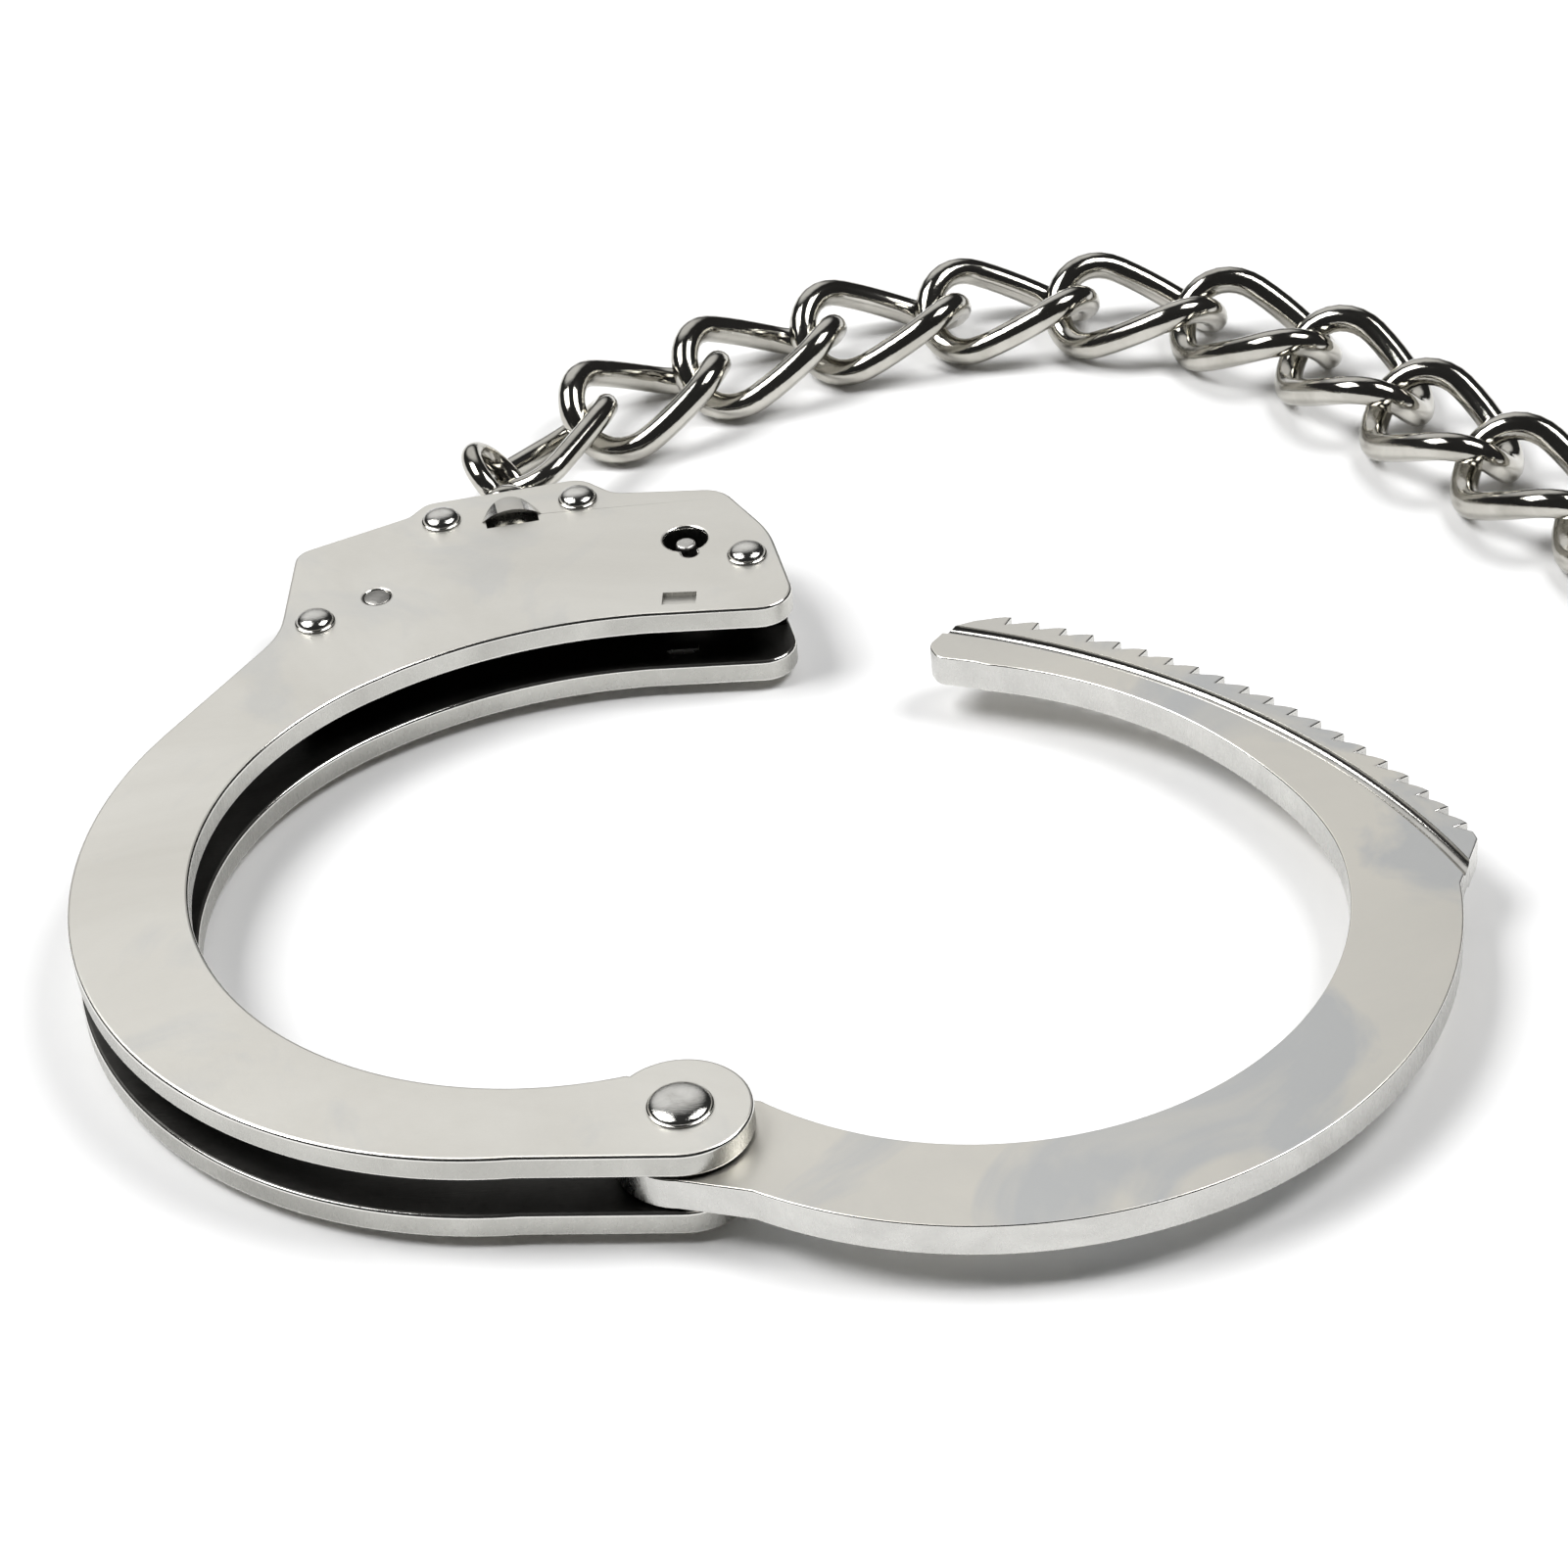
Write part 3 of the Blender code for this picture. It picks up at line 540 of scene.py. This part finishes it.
def nickel(name, light, dark, roughness, cloud_scale, grain, bump, scratch=0.0, speck=0.0, stain=0.0):
    """Plated metal: clouded colour, uneven gloss and fine brushing, with optional wear."""
    made = bpy.data.materials.new(name)
    made.use_nodes = True
    nodes, links = made.node_tree.nodes, made.node_tree.links
    shader = nodes["Principled BSDF"]
    shader.inputs["Metallic"].default_value = 1.0
    place = nodes.new("ShaderNodeTexCoord").outputs["Object"]
    clouds = socketed(nodes, links, "ShaderNodeTexNoise", {
        "Vector": place, "Scale": cloud_scale, "Detail": 6.0, "Roughness": 0.62, "Distortion": 0.6})
    tint = socketed(nodes, links, "ShaderNodeMapRange", {
        "Value": clouds.outputs["Fac"], "From Min": 0.35, "From Max": 0.68})
    surface = mixed(nodes, links, tint.outputs["Result"], (*light, 1), (*dark, 1))
    if stain:
        patches = socketed(nodes, links, "ShaderNodeTexNoise", {
            "Vector": place, "Scale": cloud_scale * 1.7,
            "Detail": 5.0, "Roughness": 0.55, "Distortion": 1.2})
        share = socketed(nodes, links, "ShaderNodeMapRange", {
            "Value": patches.outputs["Fac"], "From Min": 0.54, "From Max": 0.64,
            "To Min": 0.0, "To Max": stain})
        surface = mixed(nodes, links, share.outputs["Result"], surface, STAIN_COLOUR)
    links.new(surface, shader.inputs["Base Color"])
    stretch = socketed(nodes, links, "ShaderNodeMapping", {
        "Vector": place, "Scale": (1.0, 7.0, 1.0), "Rotation": (0, 0, 0.5)})
    brushing = socketed(nodes, links, "ShaderNodeTexNoise", {
        "Vector": stretch.outputs["Vector"], "Scale": grain, "Detail": 4.0, "Roughness": 0.7})
    gloss = socketed(nodes, links, "ShaderNodeMapRange", {
        "Value": brushing.outputs["Fac"], "From Min": 0.3, "From Max": 0.7,
        "To Min": roughness * 0.8, "To Max": roughness * 1.25})
    links.new(gloss.outputs["Result"], shader.inputs["Roughness"])
    height = brushing.outputs["Fac"]
    if scratch:
        cells = socketed(nodes, links, "ShaderNodeTexVoronoi", {
            "Vector": stretch.outputs["Vector"], "Scale": grain * 0.12, "Randomness": 1.0},
            {"feature": "DISTANCE_TO_EDGE"})
        lines = socketed(nodes, links, "ShaderNodeMapRange", {
            "Value": cells.outputs["Distance"], "From Min": 0.0, "From Max": 0.02,
            "To Min": -scratch, "To Max": 0.0})
        height = socketed(nodes, links, "ShaderNodeMath", {0: height, 1: lines.outputs["Result"]},
                          {"operation": "ADD"}).outputs["Value"]
    if speck:
        pits = socketed(nodes, links, "ShaderNodeTexNoise", {
            "Vector": place, "Scale": 1400.0, "Detail": 2.0})
        marks = socketed(nodes, links, "ShaderNodeMapRange", {
            "Value": pits.outputs["Fac"], "From Min": 0.66, "From Max": 0.74,
            "To Min": 0.0, "To Max": -speck})
        height = socketed(nodes, links, "ShaderNodeMath", {0: height, 1: marks.outputs["Result"]},
                          {"operation": "ADD"}).outputs["Value"]
    relief = socketed(nodes, links, "ShaderNodeBump", {
        "Height": height, "Strength": bump, "Distance": RELIEF_DEPTH})
    links.new(relief.outputs["Normal"], shader.inputs["Normal"])
    return made


PLATE_FACE = nickel("plate face", (0.80, 0.785, 0.735), (0.70, 0.682, 0.63), 0.42, 28, 2200, 0.05,
                    speck=0.5, stain=0.25)
# The plate's cut sides have a smoother finish, and their colour is darkened below the face's as painted
# shade.
PLATE_SIDE_SHADED = nickel("plate side painted shade", (0.54, 0.535, 0.505), (0.42, 0.415, 0.39), 0.27, 90, 700, 0.12)
PLATE_EDGE = nickel("plate edge", (0.80, 0.79, 0.76), (0.70, 0.69, 0.66), 0.10, 120, 500, 0.06)
# Near black for the faces inside the gap and the keyhole and louvre walls: partly the bare inner metal,
# partly painted shade for the dark hollows.
PLATE_INSIDE_SHADE = nickel("plate inside painted shade", (0.10, 0.098, 0.092), (0.04, 0.039, 0.036), 0.45, 60, 800, 0.12)
BOW_FACE = nickel("bow face", (0.78, 0.755, 0.69), (0.68, 0.665, 0.62), 0.40, 22, 2200, 0.05,
                  speck=0.5, stain=0.7)
# The bow's cut sides have a smoother finish, and their colour is darkened below the face's as painted
# shade.
BOW_SIDE_SHADED = nickel("bow side painted shade", (0.66, 0.655, 0.63), (0.53, 0.525, 0.505), 0.27, 110, 600, 0.14)
GROOVE_FINISH = nickel("groove", (0.62, 0.61, 0.58), (0.50, 0.49, 0.46), 0.12, 300, 900, 0.06)
RIVET_FINISH = nickel("rivet nickel", (0.72, 0.71, 0.68), (0.58, 0.57, 0.54), 0.10, 500, 1500, 0.12,
                      scratch=0.15)
CHAIN_FINISH = nickel("chain nickel", (0.58, 0.565, 0.52), (0.43, 0.415, 0.375), 0.09, 160, 900, 0.06,
                      scratch=0.12)
PIN_FINISH = nickel("pin steel", (0.42, 0.41, 0.39), (0.30, 0.295, 0.28), 0.32, 400, 1800, 0.2)
POST_FINISH = nickel("post steel", (0.62, 0.61, 0.58), (0.5, 0.49, 0.47), 0.3, 400, 1800, 0.2)
SPRING_FINISH = nickel("spring steel", (0.42, 0.42, 0.43), (0.3, 0.3, 0.32), 0.28, 300, 1200, 0.1)
DARK_FINISH = nickel("dark steel", (0.10, 0.096, 0.092), (0.04, 0.038, 0.036), 0.4, 150, 900, 0.15)


# --- pieces ----------------------------------------------------------------------------------------


def crease_flats(mesh):
    """Keeps every flat top and bottom apart from what curves away beside it."""
    shape = bmesh.new()
    shape.from_mesh(mesh)
    for edge in shape.edges:
        level = [abs(face.normal.z) > 0.9995 for face in edge.link_faces]
        if True in level and False in level:
            edge.smooth = False
    shape.to_mesh(mesh)
    shape.free()


def place(name, mesh, finishes, matrix, node, slot, choose=None):
    """The shown piece for one CAD node, riding on that node's body."""
    own = mesh.copy()
    own.name = name
    own.transform(matrix)
    own.materials.clear()
    for finish in finishes:
        own.materials.append(finish)
    if choose:
        for polygon in mesh.polygons:
            own.polygons[polygon.index].material_index = choose(polygon)
    own.shade_smooth()
    own.set_sharp_from_angle(angle=math.radians(32))
    crease_flats(own)
    made = bpy.data.objects.new(name, own)
    bpy.context.scene.collection.objects.link(made)
    weighted = made.modifiers.new("even shading", "WEIGHTED_NORMAL")
    weighted.keep_sharp = True
    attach(made, BODY_OF[node])
    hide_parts(node)
    return made


def in_painted_shade(spot):
    """Whether a place on a plate, seen from above, is a wall of its keyhole or of its louvre; these walls
    are painted near black as shade.
    """
    if math.dist(spot, KEYHOLE) < 3.5:
        return True
    offset = Vector(spot) - Vector(SWIVEL_SEAT)
    along = offset.dot(SWIVEL_AXIS.xy)
    across = offset.dot(Vector((SWIVEL_AXIS.y, -SWIVEL_AXIS.x)))
    return -4.6 < along < -1.15 and abs(across) < 3.6


def plate_faces(upper):
    """Which finish a plate's face takes: 0 outside, 1 rounded edge, 2 side, darkened as painted shade, 3
    inside, near black as painted shade.
    """
    out, gap_side = (Z_TOP, Z_UPPER) if upper else (Z_LOWER, Z_GAP)
    sign = 1 if upper else -1

    def choose(polygon):
        z = polygon.center.z / MM
        lean = polygon.normal.z * sign
        depth = (out - z) * sign
        if depth > 0.35 and in_painted_shade((polygon.center.x / MM, polygon.center.y / MM)):
            return 3
        if lean > 0.93:
            return 0
        if lean > 0.12 and depth < 0.4:
            return 1
        if lean < -0.9:
            return 3
        if lean < -0.12 and abs(z - gap_side) < 0.4:
            return 1
        return 2
    return choose


def bow_faces(polygon):
    """Which finish a bow's face takes: 0 flat, 1 rounded edge, 2 side, darkened as painted shade, 3
    groove.
    """
    lean = abs(polygon.normal.z)
    spot = polygon.center / MM
    reach = math.hypot(spot.x, spot.y)
    angle = math.degrees(math.atan2(spot.y, spot.x))
    sunk = abs(spot.z - Z_MID) < BOW / 2 - 0.01 and lean > 0.02
    near = GROOVE[0] - 0.2 < reach < GROOVE[1] + 0.2
    if sunk and near and 12 < angle < 68.5:
        return 3
    if lean > 0.93:
        return 0
    return 1 if lean > 0.12 else 2


def cuff_matrix(side, turn):
    low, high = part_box(f"{side}_hinge_rivet")
    middle = (Vector(low) + Vector(high)) / 2
    return Matrix.Translation((middle.x, middle.y, 0)) @ Matrix.Rotation(math.radians(turn), 4, "Z")


def build_cuff(side, matrix, meshes):
    plates = [PLATE_FACE, PLATE_EDGE, PLATE_SIDE_SHADED, PLATE_INSIDE_SHADE]
    for upper, word in ((True, "upper"), (False, "lower")):
        node = f"{side}_{word}_cheek_plate"
        mesh = meshes[f"{word}_plate"]
        place(f"{node}_shown", mesh, plates, matrix, node, "plate_nickel", plate_faces(upper))
    bow_finishes = [BOW_FACE, PLATE_EDGE, BOW_SIDE_SHADED, GROOVE_FINISH]
    bow_node = f"{side}_bow"
    place(f"{bow_node}_shown", meshes["bow"], bow_finishes, matrix, bow_node, "bow_nickel", bow_faces)
    for piece, finish, slot in (
        ("hinge_rivet", RIVET_FINISH, "rivet_nickel"), ("pawl_pivot_pin", PIN_FINISH, "pin_steel"),
        ("key_post", POST_FINISH, "pin_steel"), ("swivel", CHAIN_FINISH, "chain_nickel"),
    ):
        node = f"{side}_{piece}"
        place(f"{node}_shown", meshes[piece], [finish], matrix, node, slot)
    for where, spot in BODY_RIVETS.items():
        node = f"{side}_{where}_rivet"
        shifted = matrix @ Matrix.Translation(Vector((*spot, 0)) * MM)
        place(f"{node}_shown", meshes["body_rivet"], [RIVET_FINISH], shifted, node, "rivet_nickel")
    for piece, finish in (
        ("lock_frame", DARK_FINISH), ("pawl", DARK_FINISH), ("double_lock_bar", DARK_FINISH),
        ("pawl_spring", SPRING_FINISH),
    ):
        for held in frame["nodes"][f"{side}_{piece}"].material_slots:
            held.material = finish


def eye_contact():
    """Where the oval link bears on the inside of the swivel's eye, in the cuff's frame."""
    roll, turn = math.radians(EYE_ROLL), math.radians(EYE_CONTACT)
    across = Vector((SWIVEL_AXIS.y, -SWIVEL_AXIS.x, 0)) * math.cos(roll) - Vector((0, 0, math.sin(roll)))
    reach = EYE_INNER - EYE_PLAY
    spot = SWIVEL_AXIS * (EYE_CENTRE + reach * math.cos(turn)) + across * reach * math.sin(turn)
    return Vector((*SWIVEL_SEAT, Z_MID)) + spot


def oval_link_frame():
    """The oval link's frame and the far end of it, in the cuff's frame."""
    start = eye_contact()
    pitch = math.asin((CHAIN_Z - start.z) / LINK_PITCH)
    turn = Matrix.Rotation(math.radians(HEADINGS[0]), 4, "Z") @ Matrix.Rotation(-pitch, 4, "Y")
    end = start + turn @ Vector((LINK_PITCH, 0, 0))
    return Matrix.Translation(start * MM) @ turn, end


def place_link(name, mesh, matrix):
    place(f"{name}_shown", mesh, [CHAIN_FINISH], matrix, name, "chain_nickel")


def build_chain(left, right):
    oval = link(OVAL_WIDTH, OVAL_WIRE, OVAL_TWIST, OVAL_TILT)
    twisted = link(LINK_WIDTH, LINK_WIRE, LINK_TWIST)
    own_frame, joint = oval_link_frame()
    place_link("oval_link_01", oval, left @ own_frame)
    for number, angle in enumerate(HEADINGS[1:-1], 2):
        turn = Matrix.Rotation(math.radians(angle), 4, "Z")
        place_link(f"chain_link_{number:02d}", twisted, left @ Matrix.Translation(joint * MM) @ turn)
        joint = joint + LINK_PITCH * Vector((*polar(1, angle), 0))
    place_link(f"oval_link_{len(HEADINGS):02d}", oval, right @ own_frame)


# --- stage -----------------------------------------------------------------------------------------


def build_camera(hinge):
    data = bpy.data.cameras.new("camera")
    data.lens = LENS
    data.clip_start = 0.01
    camera = bpy.data.objects.new("camera", data)
    bpy.context.scene.collection.objects.link(camera)
    look = Matrix.Rotation(math.radians(90 - CAMERA_DOWN), 4, "X") @ Matrix.Rotation(
        math.radians(CAMERA_ROLL), 4, "Z")
    spot = hinge.translation + Vector(CAMERA_AT) * MM
    camera.matrix_world = Matrix.Translation(spot) @ look
    bpy.context.scene.camera = camera


def build_floor():
    """A pale sheet well past the camera's view."""
    half = 3.0
    mesh = bpy.data.meshes.new("floor")
    shape = bmesh.new()
    bmesh.ops.create_grid(shape, x_segments=8, y_segments=8, size=half)
    shape.to_mesh(mesh)
    shape.free()
    floor = bpy.data.objects.new("floor", mesh)
    bpy.context.scene.collection.objects.link(floor)
    paper = bpy.data.materials.new("paper")
    paper.use_nodes = True
    shader = paper.node_tree.nodes["Principled BSDF"]
    shader.inputs["Base Color"].default_value = (0.93, 0.93, 0.93, 1)
    shader.inputs["Roughness"].default_value = 0.9
    mesh.materials.append(paper)


def area_light(name, spot, target, size, energy):
    data = bpy.data.lights.new(name, "AREA")
    data.shape = "RECTANGLE"
    data.size, data.size_y = size
    data.energy = energy
    light = bpy.data.objects.new(name, data)
    bpy.context.scene.collection.objects.link(light)
    light.location = spot
    light.rotation_euler = (Vector(target) - Vector(spot)).to_track_quat("-Z", "Y").to_euler()


def build_lights():
    """A room bright on the far side and dark towards the camera, with two soft boxes overhead."""
    world = bpy.data.worlds.new("room")
    bpy.context.scene.world = world
    world.use_nodes = True
    nodes, links = world.node_tree.nodes, world.node_tree.links
    place = nodes.new("ShaderNodeTexCoord").outputs["Generated"]
    facing = socketed(nodes, links, "ShaderNodeVectorMath", {0: place, 1: BRIGHT_SIDE},
                      {"operation": "DOT_PRODUCT"})
    glow = socketed(nodes, links, "ShaderNodeMapRange", {
        "Value": facing.outputs["Value"], "From Min": BRIGHT_EDGE[0], "From Max": BRIGHT_EDGE[1],
        "To Min": ROOM_LEVELS[0], "To Max": ROOM_LEVELS[1]},
        {"interpolation_type": "SMOOTHSTEP"})
    background = nodes["Background"]
    links.new(glow.outputs["Result"], background.inputs["Color"])
    background.inputs["Strength"].default_value = 1.0
    area_light("key", (-0.75, 0.05, 0.95), (0, 0, 0), (0.6, 0.6), 12)
    area_light("fill", (0.6, 0.0, 1.1), (0, 0, 0), (0.5, 0.6), 9.5)


def main():
    meshes = {
        "upper_plate": cheek_plate(True),
        "lower_plate": cheek_plate(False),
        "bow": bow(),
        "hinge_rivet": rivet(HINGE_SHANK, HINGE_HEAD, HINGE_DOME),
        "body_rivet": rivet(RIVET_SHANK, RIVET_HEAD, DOME - SEAT),
        "pawl_pivot_pin": pawl_pin(),
        "key_post": key_post(),
        "swivel": swivel(),
    }
    left = cuff_matrix("left", 0)
    right = cuff_matrix("right", HEADINGS[-1] - HEADINGS[0] - 180)
    build_cuff("left", left, meshes)
    build_cuff("right", right, meshes)
    build_chain(left, right)
    build_camera(left)
    build_floor()
    build_lights()
    bpy.context.scene.view_settings.view_transform = "Standard"


BODY_OF = {node: body for body, nodes in frame["record"]["behaviour"]["bodies"].items() for node in nodes}
main()
